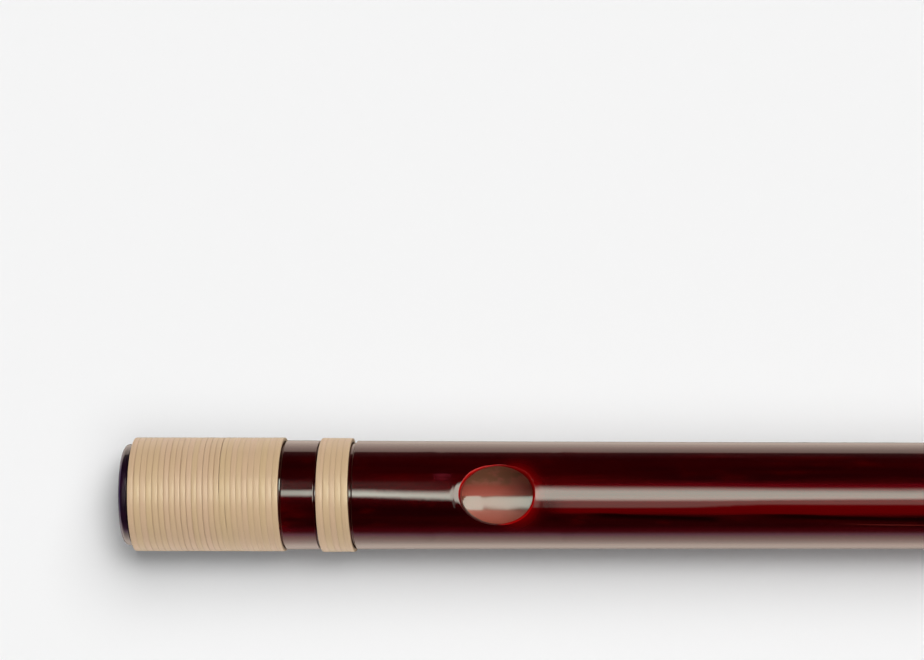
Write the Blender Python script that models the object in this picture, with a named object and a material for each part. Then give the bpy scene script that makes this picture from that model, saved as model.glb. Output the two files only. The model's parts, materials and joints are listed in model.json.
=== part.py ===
"""A shinobue: a lacquered bamboo transverse flute bound with split rattan.

Every piece is modelled on the flute's own axis, with x = 0 at the outer face of the
head cap, and hangs on one empty that lays the flute on the plane z = 0. The head is at
-X, the mouth hole and the finger holes face +Z, and the two wide bindings are its feet.
"""

import math

import bmesh
import bpy
import numpy as np

MM = 0.001

# Bamboo tube
BORE_RADIUS = 7.0 * MM
WALL = 2.6 * MM
END_SWELL = 0.3 * MM  # extra wall at both ends, where the culm nears its nodes
SWELL_LENGTH = 44.0 * MM  # distance over which the swell dies away to a third
BORE_MOUTH_CHAMFER = 0.5 * MM
SEPTUM_THICKNESS = 2.5 * MM  # the culm's own node, left closed in the head
TUBE_SIDES = 32
SWELL_STATIONS = 5

# Seats turned into the bamboo for the rattan, and the running gap of touching pieces
SEAT_DEPTH = 0.35 * MM
TOUCH_GAP = 0.3 * MM

# Rattan bindings
STRAND_THICKNESS = 0.55 * MM
STRAND_EDGE_SLOPE = 0.12 * MM
STRAND_GAP = 0.45 * MM
HEAD_BINDING_WIDTH = 27.9 * MM
HEAD_BINDING_TURNS = 24
TAIL_BINDING_WIDTH = 13.85 * MM
TAIL_BINDING_TURNS = 12
RING_WIDTH = 6.1 * MM
RING_TURNS = 5
BINDING_SIDES = 16
RING_SIDES = 12

# Head cap, head plug and wax wall
CAP_THICKNESS = 1.75 * MM
CAP_INSET = 0.65 * MM  # how far the cap's edge lies inside the bamboo's outside
CAP_EDGE_RADIUS = 0.9 * MM
CAP_EDGE_STEPS = 4
SPIGOT_LENGTH = 6.0 * MM
PLUG_LENGTH = 12.0 * MM
PLUG_CHAMFER = 0.6 * MM
WAX_THICKNESS = 5.5 * MM
WAX_SETBACK = 2.2 * MM  # from the wax's rim to the near edge of the mouth hole
INNER_SIDES = 24

# Holes, as length along the flute and width across it
MOUTH_LENGTH = 13.9 * MM
MOUTH_WIDTH = 11.0 * MM
FINGER_LENGTH = 9.0 * MM
FINGER_WIDTH = 8.2 * MM
FINGER_HOLES = 7
HOLE_SIDES = 24

# Spacings along the flute
NECK_GAP = 7.0 * MM  # head binding to neck ring
NECK_TO_MOUTH = 20.2 * MM  # neck ring to the near edge of the mouth hole
MOUTH_TO_FINGER = 127.0 * MM  # mouth hole to the nearest finger hole, between centres
HOLE_SPACING = 26.0 * MM
TAIL_GAP = 21.9 * MM  # tail ring to tail binding

# Stations along the flute, from the outer face of the cap
TUBE_START = CAP_THICKNESS + TOUCH_GAP
HEAD_BINDING_END = TUBE_START + HEAD_BINDING_WIDTH
NECK_RING_START = HEAD_BINDING_END + NECK_GAP
NECK_RING_END = NECK_RING_START + RING_WIDTH
MOUTH_CENTRE = NECK_RING_END + NECK_TO_MOUTH + MOUTH_LENGTH / 2
FIRST_FINGER = MOUTH_CENTRE + MOUTH_TO_FINGER
FINGER_CENTRES = [FIRST_FINGER + i * HOLE_SPACING for i in range(FINGER_HOLES)]
HOLE_RING_CENTRES = [x - HOLE_SPACING / 2 for x in FINGER_CENTRES]
TAIL_RING_CENTRE = FINGER_CENTRES[-1] + HOLE_SPACING / 2
TAIL_BINDING_START = TAIL_RING_CENTRE + RING_WIDTH / 2 + TAIL_GAP
TUBE_END = TAIL_BINDING_START + TAIL_BINDING_WIDTH
WAX_FACE = MOUTH_CENTRE - MOUTH_LENGTH / 2 - WAX_SETBACK
PLUG_END = WAX_FACE - WAX_THICKNESS - TOUCH_GAP
PLUG_START = PLUG_END - PLUG_LENGTH
SEPTUM_END = PLUG_START - TOUCH_GAP

BODY_RADIUS = BORE_RADIUS + WALL
END_RADIUS = BODY_RADIUS + END_SWELL
INNER_RADIUS = BORE_RADIUS - TOUCH_GAP  # of whatever is pushed into the bore

# Colour, roughness and metallic value of each finish
LACQUER = ((0.075, 0.006, 0.008), 0.16, 0.0)
RATTAN = ((0.52, 0.37, 0.23), 0.55, 0.0)
DARK_LACQUER = ((0.022, 0.004, 0.012), 0.2, 0.0)
CORK = ((0.42, 0.26, 0.14), 0.85, 0.0)
BEESWAX = ((0.72, 0.55, 0.22), 0.45, 0.0)


def outer_radius(x):
    """Radius of the bamboo's outside: slightly stouter towards both bound ends."""
    from_head = max(0.0, x - HEAD_BINDING_END)
    from_tail = max(0.0, TAIL_BINDING_START - x)
    swell = math.exp(-from_head / SWELL_LENGTH) + math.exp(-from_tail / SWELL_LENGTH)
    return BODY_RADIUS + END_SWELL * min(1.0, swell)


def seat_radius(start, width):
    """Radius of the level seat under a binding, below the thinner end of its stretch."""
    return min(outer_radius(start), outer_radius(start + width)) - SEAT_DEPTH


def strand_radii(start, width, sides):
    """Inner and outer radius of a strand's corners, clear of its seat at mid-side."""
    inner = (seat_radius(start, width) + TOUCH_GAP) / math.cos(math.pi / sides)
    return inner, inner + STRAND_THICKNESS


def foot_height():
    """Height of the axis above the flat feet of the head binding's turns."""
    corner = strand_radii(TUBE_START, HEAD_BINDING_WIDTH, BINDING_SIDES)[1]
    return corner * math.cos(math.pi / BINDING_SIDES)


def clear_scene():
    for obj in list(bpy.data.objects):
        bpy.data.objects.remove(obj, do_unlink=True)


def make_material(name, finish):
    colour, roughness, metallic = finish
    material = bpy.data.materials.new(name)
    material.use_nodes = True
    shader = material.node_tree.nodes["Principled BSDF"]
    shader.inputs["Base Color"].default_value = (*colour, 1.0)
    shader.inputs["Roughness"].default_value = roughness
    shader.inputs["Metallic"].default_value = metallic
    material.diffuse_color = (*colour, 1.0)
    return material


def make_object(name, bm, parent, material=None, crease=math.radians(30)):
    """Turn a bmesh into a named object with smooth sides and crisp edges."""
    bmesh.ops.recalc_face_normals(bm, faces=bm.faces)
    mesh = bpy.data.meshes.new(name)
    bm.to_mesh(mesh)
    bm.free()
    mesh.shade_smooth()
    mesh.set_sharp_from_angle(angle=crease)
    if material:
        mesh.materials.append(material)
    obj = bpy.data.objects.new(name, mesh)
    bpy.context.scene.collection.objects.link(obj)
    obj.parent = parent
    return obj


def ring_of(bm, x, radius, sides):
    """One ring of points round the axis, with a flat side facing straight down."""
    step = 2 * math.pi / sides
    first = -math.pi / 2 + step / 2
    return [
        bm.verts.new((x, radius * math.cos(first + i * step), radius * math.sin(first + i * step)))
        for i in range(sides)
    ]


def join_rings(bm, lower, upper):
    count = len(lower)
    for i in range(count):
        j = (i + 1) % count
        bm.faces.new((lower[i], lower[j], upper[j], upper[i]))


def lathe(profile, sides):
    """Turn (x, radius) points round the axis, and close both ends with a flat face."""
    bm = bmesh.new()
    rings = [ring_of(bm, x, radius, sides) for x, radius in profile]
    for lower, upper in zip(rings, rings[1:]):
        join_rings(bm, lower, upper)
    bm.faces.new(rings[0])
    bm.faces.new(rings[-1])
    return bm


def swell_stations(start, end):
    """Even steps along a plain stretch of the tube, which follow its gentle curve."""
    step = (end - start) / (SWELL_STATIONS + 1)
    return [(start + i * step, outer_radius(start + i * step)) for i in range(1, SWELL_STATIONS + 1)]


def seat_points(start):
    """Outline of one ring's seat: down its near wall, along it and up its far wall."""
    low = start - TOUCH_GAP
    high = start + RING_WIDTH + TOUCH_GAP
    seat = seat_radius(start, RING_WIDTH)
    return [(low, outer_radius(low)), (low, seat), (high, seat), (high, outer_radius(high))]


def tube_profile():
    """The wall's outline, from one face of the closed node round to its other face."""
    seat = seat_radius(TUBE_START, HEAD_BINDING_WIDTH)
    edge = HEAD_BINDING_END + TOUCH_GAP
    points = [(SEPTUM_END - SEPTUM_THICKNESS, BORE_RADIUS), (TUBE_START, BORE_RADIUS)]
    points += [(TUBE_START, seat), (edge, seat), (edge, outer_radius(edge))]
    points += seat_points(NECK_RING_START)
    points += swell_stations(points[-1][0], HOLE_RING_CENTRES[0] - RING_WIDTH / 2 - TOUCH_GAP)
    for centre in HOLE_RING_CENTRES + [TAIL_RING_CENTRE]:
        points += seat_points(centre - RING_WIDTH / 2)
    seat = seat_radius(TAIL_BINDING_START, TAIL_BINDING_WIDTH)
    edge = TAIL_BINDING_START - TOUCH_GAP
    points += swell_stations(points[-1][0], edge)
    points += [(edge, outer_radius(edge)), (edge, seat), (TUBE_END, seat)]
    points += [(TUBE_END, BORE_RADIUS + BORE_MOUTH_CHAMFER)]
    points += [(TUBE_END - BORE_MOUTH_CHAMFER, BORE_RADIUS), (SEPTUM_END, BORE_RADIUS)]
    return points


def hole_cutter(name, x, length, width, parent):
    """An upright elliptical bar from inside the bore to above the tube."""
    bm = bmesh.new()
    top = END_RADIUS + WALL
    loops = []
    for z in (0.0, top):
        loop = []
        for i in range(HOLE_SIDES):
            angle = 2 * math.pi * (i + 0.5) / HOLE_SIDES
            point = (length / 2 * math.cos(angle), width / 2 * math.sin(angle), z)
            loop.append(bm.verts.new(point))
        loops.append(loop)
    join_rings(bm, loops[0], loops[1])
    for loop in loops:
        bm.faces.new(loop)
    cutter = make_object(name, bm, parent)
    cutter.location = (x, 0.0, 0.0)
    cutter.hide_render = True
    cutter.display_type = "WIRE"
    return cutter


def make_tube(parent, material):
    tube = make_object("bamboo_tube", lathe(tube_profile(), TUBE_SIDES), parent, material)
    cutters = [hole_cutter("mouth_hole_cutter", MOUTH_CENTRE, MOUTH_LENGTH, MOUTH_WIDTH, parent)]
    for i, x in enumerate(FINGER_CENTRES):
        name = f"finger_hole_cutter_{i + 1}"
        cutters.append(hole_cutter(name, x, FINGER_LENGTH, FINGER_WIDTH, parent))
    for cutter in cutters:
        cut = tube.modifiers.new(cutter.name, "BOOLEAN")
        cut.operation = "DIFFERENCE"
        cut.solver = "EXACT"
        cut.object = cutter
    return tube


def make_cap(parent, material):
    """A turned end piece: a disc with a rounded edge on a spigot that plugs the bore."""
    radius = END_RADIUS - CAP_INSET
    profile = []
    for i in range(CAP_EDGE_STEPS + 1):
        angle = math.pi / 2 * i / CAP_EDGE_STEPS
        x = CAP_EDGE_RADIUS * (1 - math.cos(angle))
        profile.append((x, radius - CAP_EDGE_RADIUS * (1 - math.sin(angle))))
    profile += [(CAP_THICKNESS, radius), (CAP_THICKNESS, INNER_RADIUS)]
    spigot_end = CAP_THICKNESS + SPIGOT_LENGTH
    profile += [(spigot_end - PLUG_CHAMFER, INNER_RADIUS), (spigot_end, INNER_RADIUS - PLUG_CHAMFER)]
    make_object("head_cap", lathe(profile, TUBE_SIDES), parent, material)


def make_plug(parent, material):
    """The cork that stops the bore behind the wax."""
    profile = [
        (PLUG_START, INNER_RADIUS - PLUG_CHAMFER),
        (PLUG_START + PLUG_CHAMFER, INNER_RADIUS),
        (PLUG_END - PLUG_CHAMFER, INNER_RADIUS),
        (PLUG_END, INNER_RADIUS - PLUG_CHAMFER),
    ]
    make_object("head_plug", lathe(profile, INNER_SIDES), parent, material)


def make_wax(parent, material):
    """The wax wall that ends the air column beside the mouth hole."""
    profile = [(WAX_FACE - WAX_THICKNESS, INNER_RADIUS), (WAX_FACE, INNER_RADIUS)]
    make_object("wax_wall", lathe(profile, INNER_SIDES), parent, material)


def least_gap(sections, sides):
    """Smallest distance between corner points that lie half a turn or more apart."""
    points = np.array(sections)
    count, corners = points.shape[:2]
    place = np.repeat(np.arange(count), corners)
    points = points.reshape(-1, 3)
    smallest = math.inf
    for i, point in enumerate(points):
        far = place - place[i] >= sides // 2
        if far.any():
            smallest = min(smallest, np.linalg.norm(points[far] - point, axis=1).min())
    return smallest


def make_binding(name, start, width, turns, sides, parent, material):
    """One strand of split rattan wound as an unbroken screw, with its ends cut square.

    Each turn has a level side at the bottom, so the turns that carry the flute stand on
    flat feet.
    """
    pitch = (width + STRAND_GAP) / (turns + 1)
    strand = pitch - STRAND_GAP
    inner, outer = strand_radii(start, width, sides)
    section = [
        (-strand / 2, inner),
        (strand / 2, inner),
        (strand / 2 - STRAND_EDGE_SLOPE, outer),
        (-strand / 2 + STRAND_EDGE_SLOPE, outer),
    ]
    sections = []
    for i in range(turns * sides + 1):
        angle = -math.pi / 2 + math.pi / sides + 2 * math.pi * i / sides
        centre = start + strand / 2 + pitch * i / sides
        sections.append(
            [(centre + along, r * math.cos(angle), r * math.sin(angle)) for along, r in section]
        )
    bm = bmesh.new()
    loops = [[bm.verts.new(point) for point in corners] for corners in sections]
    for lower, upper in zip(loops, loops[1:]):
        join_rings(bm, lower, upper)
    bm.faces.new(loops[0])
    bm.faces.new(loops[-1])
    make_object(name, bm, parent, material)
    print(f"{name}: least gap between turns {least_gap(sections, sides) / MM:.3f} mm")


def main():
    clear_scene()
    flute = bpy.data.objects.new("flute", None)
    bpy.context.scene.collection.objects.link(flute)
    flute.location = (-TUBE_END / 2, 0.0, foot_height())

    make_tube(flute, make_material("lacquered_bamboo", LACQUER))
    make_cap(flute, make_material("dark_lacquer", DARK_LACQUER))
    make_plug(flute, make_material("cork", CORK))
    make_wax(flute, make_material("beeswax", BEESWAX))

    rattan = make_material("rattan", RATTAN)
    make_binding(
        "head_binding", TUBE_START, HEAD_BINDING_WIDTH, HEAD_BINDING_TURNS, BINDING_SIDES, flute, rattan
    )
    make_binding(
        "tail_binding", TAIL_BINDING_START, TAIL_BINDING_WIDTH, TAIL_BINDING_TURNS, BINDING_SIDES,
        flute, rattan,
    )
    rings = {"neck_ring": NECK_RING_START, "tail_ring": TAIL_RING_CENTRE - RING_WIDTH / 2}
    for i, centre in enumerate(HOLE_RING_CENTRES):
        rings[f"hole_ring_{i + 1}"] = centre - RING_WIDTH / 2
    for name, start in rings.items():
        make_binding(name, start, RING_WIDTH, RING_TURNS, RING_SIDES, flute, rattan)
    bpy.context.view_layer.update()


main()
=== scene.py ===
"""The looks of a shinobue: a lacquered bamboo transverse flute bound with split rattan.

The model is in metres: the flute lies along X with its head at -X, and its holes face +Z. The
tube, the cap, the wax wall and the bindings get finer pieces in the same places, and the cork
keeps its solid. Angles round the flute run from +Z towards +Y.
"""

import json
from math import asin, cos, pi, radians, sin, tan
from collections import namedtuple

import bmesh
import bpy
import numpy as np
from mathutils import Matrix, Vector


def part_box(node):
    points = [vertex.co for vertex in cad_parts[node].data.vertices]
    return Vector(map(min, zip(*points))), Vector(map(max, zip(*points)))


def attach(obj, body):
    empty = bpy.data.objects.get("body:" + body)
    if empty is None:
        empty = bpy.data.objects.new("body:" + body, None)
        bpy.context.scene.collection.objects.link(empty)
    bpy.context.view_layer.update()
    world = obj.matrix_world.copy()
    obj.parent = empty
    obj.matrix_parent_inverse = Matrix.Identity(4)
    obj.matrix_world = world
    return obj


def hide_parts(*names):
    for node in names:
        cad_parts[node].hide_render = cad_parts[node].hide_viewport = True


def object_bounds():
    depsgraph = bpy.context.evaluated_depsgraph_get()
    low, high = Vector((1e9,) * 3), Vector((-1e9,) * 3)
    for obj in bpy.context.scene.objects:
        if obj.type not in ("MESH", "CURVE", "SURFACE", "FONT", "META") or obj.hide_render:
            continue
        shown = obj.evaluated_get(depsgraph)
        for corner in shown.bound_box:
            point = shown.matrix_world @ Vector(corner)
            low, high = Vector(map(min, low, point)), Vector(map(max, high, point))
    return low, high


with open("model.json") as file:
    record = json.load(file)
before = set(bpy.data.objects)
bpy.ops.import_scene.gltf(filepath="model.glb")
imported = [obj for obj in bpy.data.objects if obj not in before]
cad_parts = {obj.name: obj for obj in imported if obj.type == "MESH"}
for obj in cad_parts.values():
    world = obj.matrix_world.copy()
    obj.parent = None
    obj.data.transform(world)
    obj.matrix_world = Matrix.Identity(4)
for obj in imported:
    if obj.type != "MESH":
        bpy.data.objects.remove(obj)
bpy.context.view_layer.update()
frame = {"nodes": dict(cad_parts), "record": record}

MM = 0.001
TINY = 1e-9

# Bamboo tube: the sizes of its solid
BODY_RADIUS = 9.6 * MM
END_SWELL = 0.3 * MM
SWELL_LENGTH = 44.0 * MM
BORE_RADIUS = 7.0 * MM
SEAT_GAP = 0.3 * MM
SEPTUM_THICKNESS = 2.5 * MM

# Bamboo tube: its finer shapes
SEAT_FLOOR = 0.5 * MM  # the seats' depth below the built-up lacquer
SEAT_LIP = 0.28 * MM
LIP_STEPS = (1.2 * MM, 0.4 * MM, 0.1 * MM, 0.02 * MM, 0.0)
LIP_FACETS = 6
COAT_BUILD = 0.15 * MM  # how much the many coats of lacquer add near the bound ends
COAT_REACH = 130.0 * MM
TAIL_EDGE_RADIUS = 0.6 * MM
TAIL_EDGE_FACETS = 4
CULM_WOBBLE = 0.022 * MM
# The wobble's waves, as strength, number round the tube, length along it and phase
CULM_WAVES = ((1.0, 2, 61.0 * MM, 0.8), (0.6, 3, -37.0 * MM, 2.1), (0.35, 5, 23.0 * MM, 0.0))

# Tube mesh: columns round it, and the columns and steps of the patch round each hole
COLUMNS = 144
PATCH_COLUMNS = 24
PATCH_STEPS = 20
STATION_STEP = 3.0 * MM
PATCH_RINGS = 14
RING_CROWDING = 1.6  # the rings lie closer together near the hole
FILLET_RINGS = 6
WALL_RINGS = 4
BORE_RINGS = 5
CREASE = 32.0  # degrees from which an edge is crisp
LACQUER_FINISH, RIM_FINISH, BORE_FINISH = range(3)

# Holes, as half their length and width, the radius of their edge, and how far and how
# wide the lacquer sinks towards them
MOUTH_SIZE = (6.68 * MM, 5.28 * MM)
FINGER_SIZE = (4.2 * MM, 3.8 * MM)
FINGER_EDGE = ((0, 0.45), (360, 0.45))
# The mouth hole's edge radius in mm at angles from the tail side towards +Y
MOUTH_EDGE = (
    (0, 0.5), (38, 0.8), (70, 0.3), (100, 0.18), (135, 0.42), (180, 0.28), (225, 0.16),
    (270, 0.14), (315, 0.36), (345, 0.42), (360, 0.5),
)
MOUTH_SINK = 0.1 * MM
FINGER_SINK = 0.07 * MM
SINK_REACH = 1.35 * MM
SINK_POWER = 1.2
SINK_SHARE = 0.46  # how much of the sink there is beside the middle of a hole
SINK_LEAN = 0.54  # and how much more on the side towards the head
MOUTH_PATCH = 12.0 * MM
FINGER_PATCH = 7.2 * MM
RED_REACH = 2.2 * MM  # how far from a hole the lacquer is redder
RED_LEAST = 0.05

# Floor of the bore under the mouth hole, which is flatter and off the axis
FLAT_SHIFT = -1.27 * MM
FLAT_RADIUS = 11.0 * MM
FLAT_DEPTH = 6.6 * MM
FLAT_REACH = 26.0 * MM
FLAT_RISE = 0.75 * MM  # it climbs a little towards the wax wall
FLAT_RISE_LENGTH = 13.0 * MM
FLAT_START = -0.35 * BORE_RADIUS  # height at which the round wall turns into it
FLAT_BLEND = 0.5 * BORE_RADIUS

# Rattan windings
HEAD_TURNS = 26
TAIL_TURNS = 13
RING_TURNS = 5
STRAND_HEIGHT = 0.62 * MM
RING_STRAND_HEIGHT = 0.68 * MM
STRAND_GAP = 0.004 * MM
STRAND_SINK = 0.02 * MM
EDGE_WANDER = 0.002 * MM
HEIGHT_WANDER = 0.01 * MM
KNOTS_PER_TURN = 3
POINTS_PER_TURN = 96
STRAND_CREASE = 50.0
HEAD_SHIFT = 0.07 * MM  # the head winding sits a little towards +Y
JOG_SHARE = 0.3  # share of a turn in which a square-laid strand steps over to the next
# Turns from square-laid to a plain screw, at a winding's start and at its end
WIDE_SQUARE = (6.0, 6.0)
RING_SQUARE = (3.0, 1.2)
# The outermost edges of a winding also get no painted groove shade
BARE_EDGE = 0.7  # the outermost edges of a winding gather no dust
HEAD_SEED, TAIL_SEED, RING_SEED = 3, 5, 11
STRAND_SECTION = (
    (-0.99, 0.0), (-1.0, 0.5), (-0.998, 0.9), (-0.975, 0.94), (-0.88, 0.963), (-0.6, 0.985),
    (-0.2, 1.0), (0.2, 1.0), (0.6, 0.985), (0.88, 0.963), (0.975, 0.94), (0.998, 0.9),
    (1.0, 0.5), (0.99, 0.0),
)
# The head winding's wider gaps, as the turn after which one lies, the angles between which it
# lies, and its width. Angles run from the bottom of the flute over its +Y side, so the top is
# at 180 degrees.
HEAD_GAPS = (
    (3, 90, 270, 0.01 * MM),
    (5, 100, 275, 0.015 * MM),
    (8, 90, 280, 0.03 * MM),
    (9, 90, 280, 0.01 * MM),
    (12, 80, 285, 0.035 * MM),
    (15, 60, 182, 0.08 * MM),
    (16, 188, 221, 0.06 * MM),
)
GAP_FADE = 8.0

# Head cap and wax wall
LATHE_SIDES = 128
HUB_SHARE = 0.05  # a turned face starts at this share of its radius
CAP_EDGE_RADIUS = 0.9 * MM
CAP_EDGE_FACETS = 10
CAP_CROWN = 0.1 * MM
CAP_FACE_STEPS = 6
CAP_COAT = 0.15 * MM
CAP_BACK_BEVEL = 0.12 * MM
CAP_WORN_RADIUS = 8.1 * MM  # where the violet wear of the cap's edge begins
SPIGOT_BEVEL = 0.6 * MM
WAX_GAP = 0.02 * MM
WAX_BEVEL = 0.3 * MM
WAX_DISH = 0.9 * MM
WAX_STEPS = 13

# Camera: its distance above the flute's axis, its aim and its lens
CAMERA_X = -3.3 * MM
CAMERA_HEIGHT = 1150.0 * MM
CAMERA_YAW = 0.11812
CAMERA_PITCH = 0.02642
CAMERA_ROLL = -0.00162
CAMERA_LENS = 245.03
CAMERA_CLIP = (0.01, 50.0)
SENSOR_WIDTH = 36.0

# Suns, as the angle from straight above towards +Y, the spread and the strength
SUNS = {
    "key": (27.0, 48.0, 2.14),
    "core": (14.5, 18.0, 0.64),
    "fill": (-16.0, 43.0, 0.775),
}
SIDE_SUN = (-80.0, 50.0, 1.19)  # reaches the flute alone
SUN_LEAN = 16.0  # degrees that every sun leans towards the flute's tail

# Softbox, and its bright part, as the place along X in metres, the angles from overhead of its
# two edges, how soft they are, and the brightness
SOFTBOX_HEIGHT = 3.0
SOFTBOX_SIZE = (3.2, 4.4)
SOFTBOX_POINTS = (321, 221)
SOFTBOX_RADIANCE = 7.7
SOFTBOX_TINT = (0.91, 1.0, 0.86)
SOFTBOX_EDGES = (
    (-0.61, 11.0, 36.0, 8.0, 8.0, 2.0),
    (-0.59, -2.4, 8.8, 8.0, 7.0, 1.05),
    (-0.56, -2.2, 9.0, 8.0, 7.0, 1.08),
    (-0.53, -3.8, 8.0, 8.5, 15.0, 1.6),
    (-0.51, -5.7, 5.3, 9.5, 14.5, 1.52),
    (-0.496, -7.8, 4.6, 10.0, 14.0, 1.36),
    (-0.478, -10.6, 4.2, 10.0, 14.0, 1.27),
    (-0.435, -10.5, 16.6, 11.0, 14.0, 1.06),
    (-0.405, -11.2, 14.0, 11.0, 16.5, 1.04),
    (-0.35, -11.2, 13.6, 11.0, 16.5, 1.03),
    (-0.31, -10.6, 13.2, 11.0, 16.5, 1.03),
    (-0.27, -8.8, 12.0, 9.0, 15.0, 1.03),
    (-0.18, -7.0, 10.5, 8.0, 17.0, 1.02),
    (-0.12, -13.0, 20.0, 8.0, 9.0, 1.1),
)
# Its ends along X, and how soft they are
SOFTBOX_ENDS = (-0.711, 1.5, 0.015, 0.1)
# The dim part beside the bright one: its ends along X, and its outer edge by the place along X
DIM_BRIGHTNESS = 0.15
DIM_ENDS = (-0.432, -0.12, 0.02, 0.05)
DIM_EDGE = ((-0.37, -0.33, -0.29), (-27.0, -26.0, -19.0))
DIM_SOFTNESS = 5.0
# The faint part beyond the head: its two edges and how soft they are, and its end along X
FAINT_BRIGHTNESS = 0.035
FAINT_EDGES = (0.0, 27.0, 2.0, 8.0)
FAINT_END = -0.47
FAINT_END_SOFTNESS = 0.03

# Floor and surroundings
BACKDROP = 0.913
STUDIO_RADIUS = 6.0
STUDIO_SIDES = 96
OWN_GLOW = (0.45, 1.1)  # distances between which the floor's shading gives way to its glow
# The floor as gloss shows it, glowing as a painted reflection: its brightness by the place along Y in
# mm, with painted shadow beside the flute and painted dark beyond +Y, and its tints
PAINTED_FLOOR_REFLECTION = (
    (-350, 0.45), (-163, 0.7), (-112, 0.94), (-65, 1.18), (-45, 1.4), (-33, 1.5), (-25.5, 1.6),
    (-19.6, 1.2), (-17, 0.78), (-14, 0.58), (-11.5, 0.17), (11.5, 0.17), (14, 0.75), (20, 1.12),
    (27, 1.3), (40, 1.25), (64, 1.2), (77, 0.025), (120, 0.025),
)
NEAR_TINT = (1.19, 1.0, 0.86)
FAR_TINT = (1.6, 1.05, 1.4)
TINT_CHANGE = (60.0 * MM, 260.0 * MM)
# The surroundings as gloss shows them: a glow low on the -Y side, by the height and the
# Y of the direction
OVERHEAD = 0.004
HORIZON = 0.26
GLOW_TOP = 0.11
GLOW_SIDE = (-0.2, -0.6)

Hole = namedtuple("Hole", "x half_length half_width edge sink patch")
Skin = namedtuple("Skin", "along sine wavy tone clouds streaks past_mouth")


# Places read from the frame

def x_span(node):
    low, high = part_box(node)
    return low.x, high.x


OPENINGS = {
    opening["name"]: [Vector(corner) for corner in opening["box_m"]]
    for opening in frame["record"]["physics"]["openings"]
}
AXIS_Z = (OPENINGS["bore"][0].z + OPENINGS["bore"][1].z) / 2
TUBE_START, TUBE_END = x_span("bamboo_tube")
HEAD_BINDING = x_span("head_binding")
TAIL_BINDING = x_span("tail_binding")
HEAD_WIDTH = HEAD_BINDING[1] - HEAD_BINDING[0]
CAP_START = x_span("head_cap")[0]
WAX_WALL = x_span("wax_wall")
SEPTUM_END = x_span("head_plug")[0] - SEAT_GAP
RING_NODES = sorted(name for name in frame["nodes"] if "_ring" in name)
RINGS = sorted(x_span(name) for name in RING_NODES)


def find_holes():
    mouth = (*MOUTH_SIZE, MOUTH_EDGE, MOUTH_SINK, MOUTH_PATCH)
    finger = (*FINGER_SIZE, FINGER_EDGE, FINGER_SINK, FINGER_PATCH)
    holes = []
    for name, (low, high) in OPENINGS.items():
        if name != "bore":
            shape = mouth if name == "mouth_hole" else finger
            holes.append(Hole((low.x + high.x) / 2, *shape))
    return sorted(holes, key=lambda hole: hole.x)


HOLES = find_holes()
MOUTH = HOLES[0]


# Shapes of the tube's surfaces

def smooth(value):
    value = np.clip(value, 0.0, 1.0)
    return value * value * (3 - 2 * value)


def between(x, start, end, start_soft, end_soft):
    """1 between two places, falling softly to 0 just inside them."""
    return smooth((x - start) / start_soft) * smooth((end - x) / end_soft)


def circle(count):
    """Angles evenly round a circle."""
    return 2 * pi * np.arange(count) / count


def outer_radius(x):
    """Radius of the bamboo's outside: slightly stouter towards both bound ends."""
    from_head = np.maximum(0.0, x - HEAD_BINDING[1])
    from_tail = np.maximum(0.0, TAIL_BINDING[0] - x)
    swell = np.exp(-from_head / SWELL_LENGTH) + np.exp(-from_tail / SWELL_LENGTH)
    return BODY_RADIUS + END_SWELL * np.minimum(1.0, swell)


def coat_build(x):
    """How far the built-up lacquer stands above the plain culm between the windings."""
    from_head = np.maximum(0.0, x - HEAD_BINDING[1]) / COAT_REACH
    from_tail = np.maximum(0.0, TAIL_BINDING[0] - x) / COAT_REACH
    return COAT_BUILD * (np.exp(-(from_head**2)) + np.exp(-(from_tail**2)))


def culm_wobble(x, angle):
    """How far the grown culm under its lacquer strays from a turned surface."""
    total = 0.0
    for strength, count, length, phase in CULM_WAVES:
        total = total + strength * np.sin(count * angle + x / length + phase)
    return CULM_WOBBLE * total


def rim_distance(hole, x, y):
    """Distance from a hole's edge, along the line to the hole's centre."""
    dx = x - hole.x
    reach = np.maximum(np.hypot(dx, y), TINY)
    share = np.hypot(dx / hole.half_length, y / hole.half_width)
    return reach * (1.0 - 1.0 / np.maximum(share, TINY))


def hole_sink(hole, x):
    """How deep the skin sinks at a hole's edge: deepest on the side towards the head."""
    side = np.clip((x - hole.x) / hole.half_length, -1.0, 1.0)
    return hole.sink * (SINK_SHARE - SINK_LEAN * side)


def skin_point(x, angle, drop=0.0):
    """Point on the outside, which sinks gently towards the holes."""
    radius = outer_radius(x) + coat_build(x) + culm_wobble(x, angle) - drop
    y = radius * np.sin(angle)
    upper = np.cos(angle) > 0
    for hole in HOLES:
        away = np.maximum(0.0, rim_distance(hole, x, y))
        sink = hole_sink(hole, x) * np.maximum(0.0, 1.0 - away / SINK_REACH) ** SINK_POWER
        radius = radius - np.where(upper, sink, 0.0)
    return np.stack([x + 0 * radius, radius * np.sin(angle), AXIS_Z + radius * np.cos(angle)], -1)


def bore_point(x, angle):
    """Point on the wall of the bore, which has a flatter floor under the mouth hole."""
    y = BORE_RADIUS * np.sin(angle)
    z = BORE_RADIUS * np.cos(angle)
    off = np.clip((y - FLAT_SHIFT) / FLAT_RADIUS, -1.0, 1.0)
    floor = FLAT_RADIUS * (1.0 - np.sqrt(1.0 - off**2)) - FLAT_DEPTH
    rise_end = WAX_WALL[1] + FLAT_RISE_LENGTH
    climb = np.clip((rise_end - x) / FLAT_RISE_LENGTH, 0.0, 1.0)
    floor = floor + FLAT_RISE * climb**4
    share = smooth((FLAT_START - z) / FLAT_BLEND)
    share = share * np.exp(-(((x - MOUTH.x) / FLAT_REACH) ** 2))
    return np.stack([x + 0 * angle, y + 0 * x, AXIS_Z + z + (floor - z) * share], -1)


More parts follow.
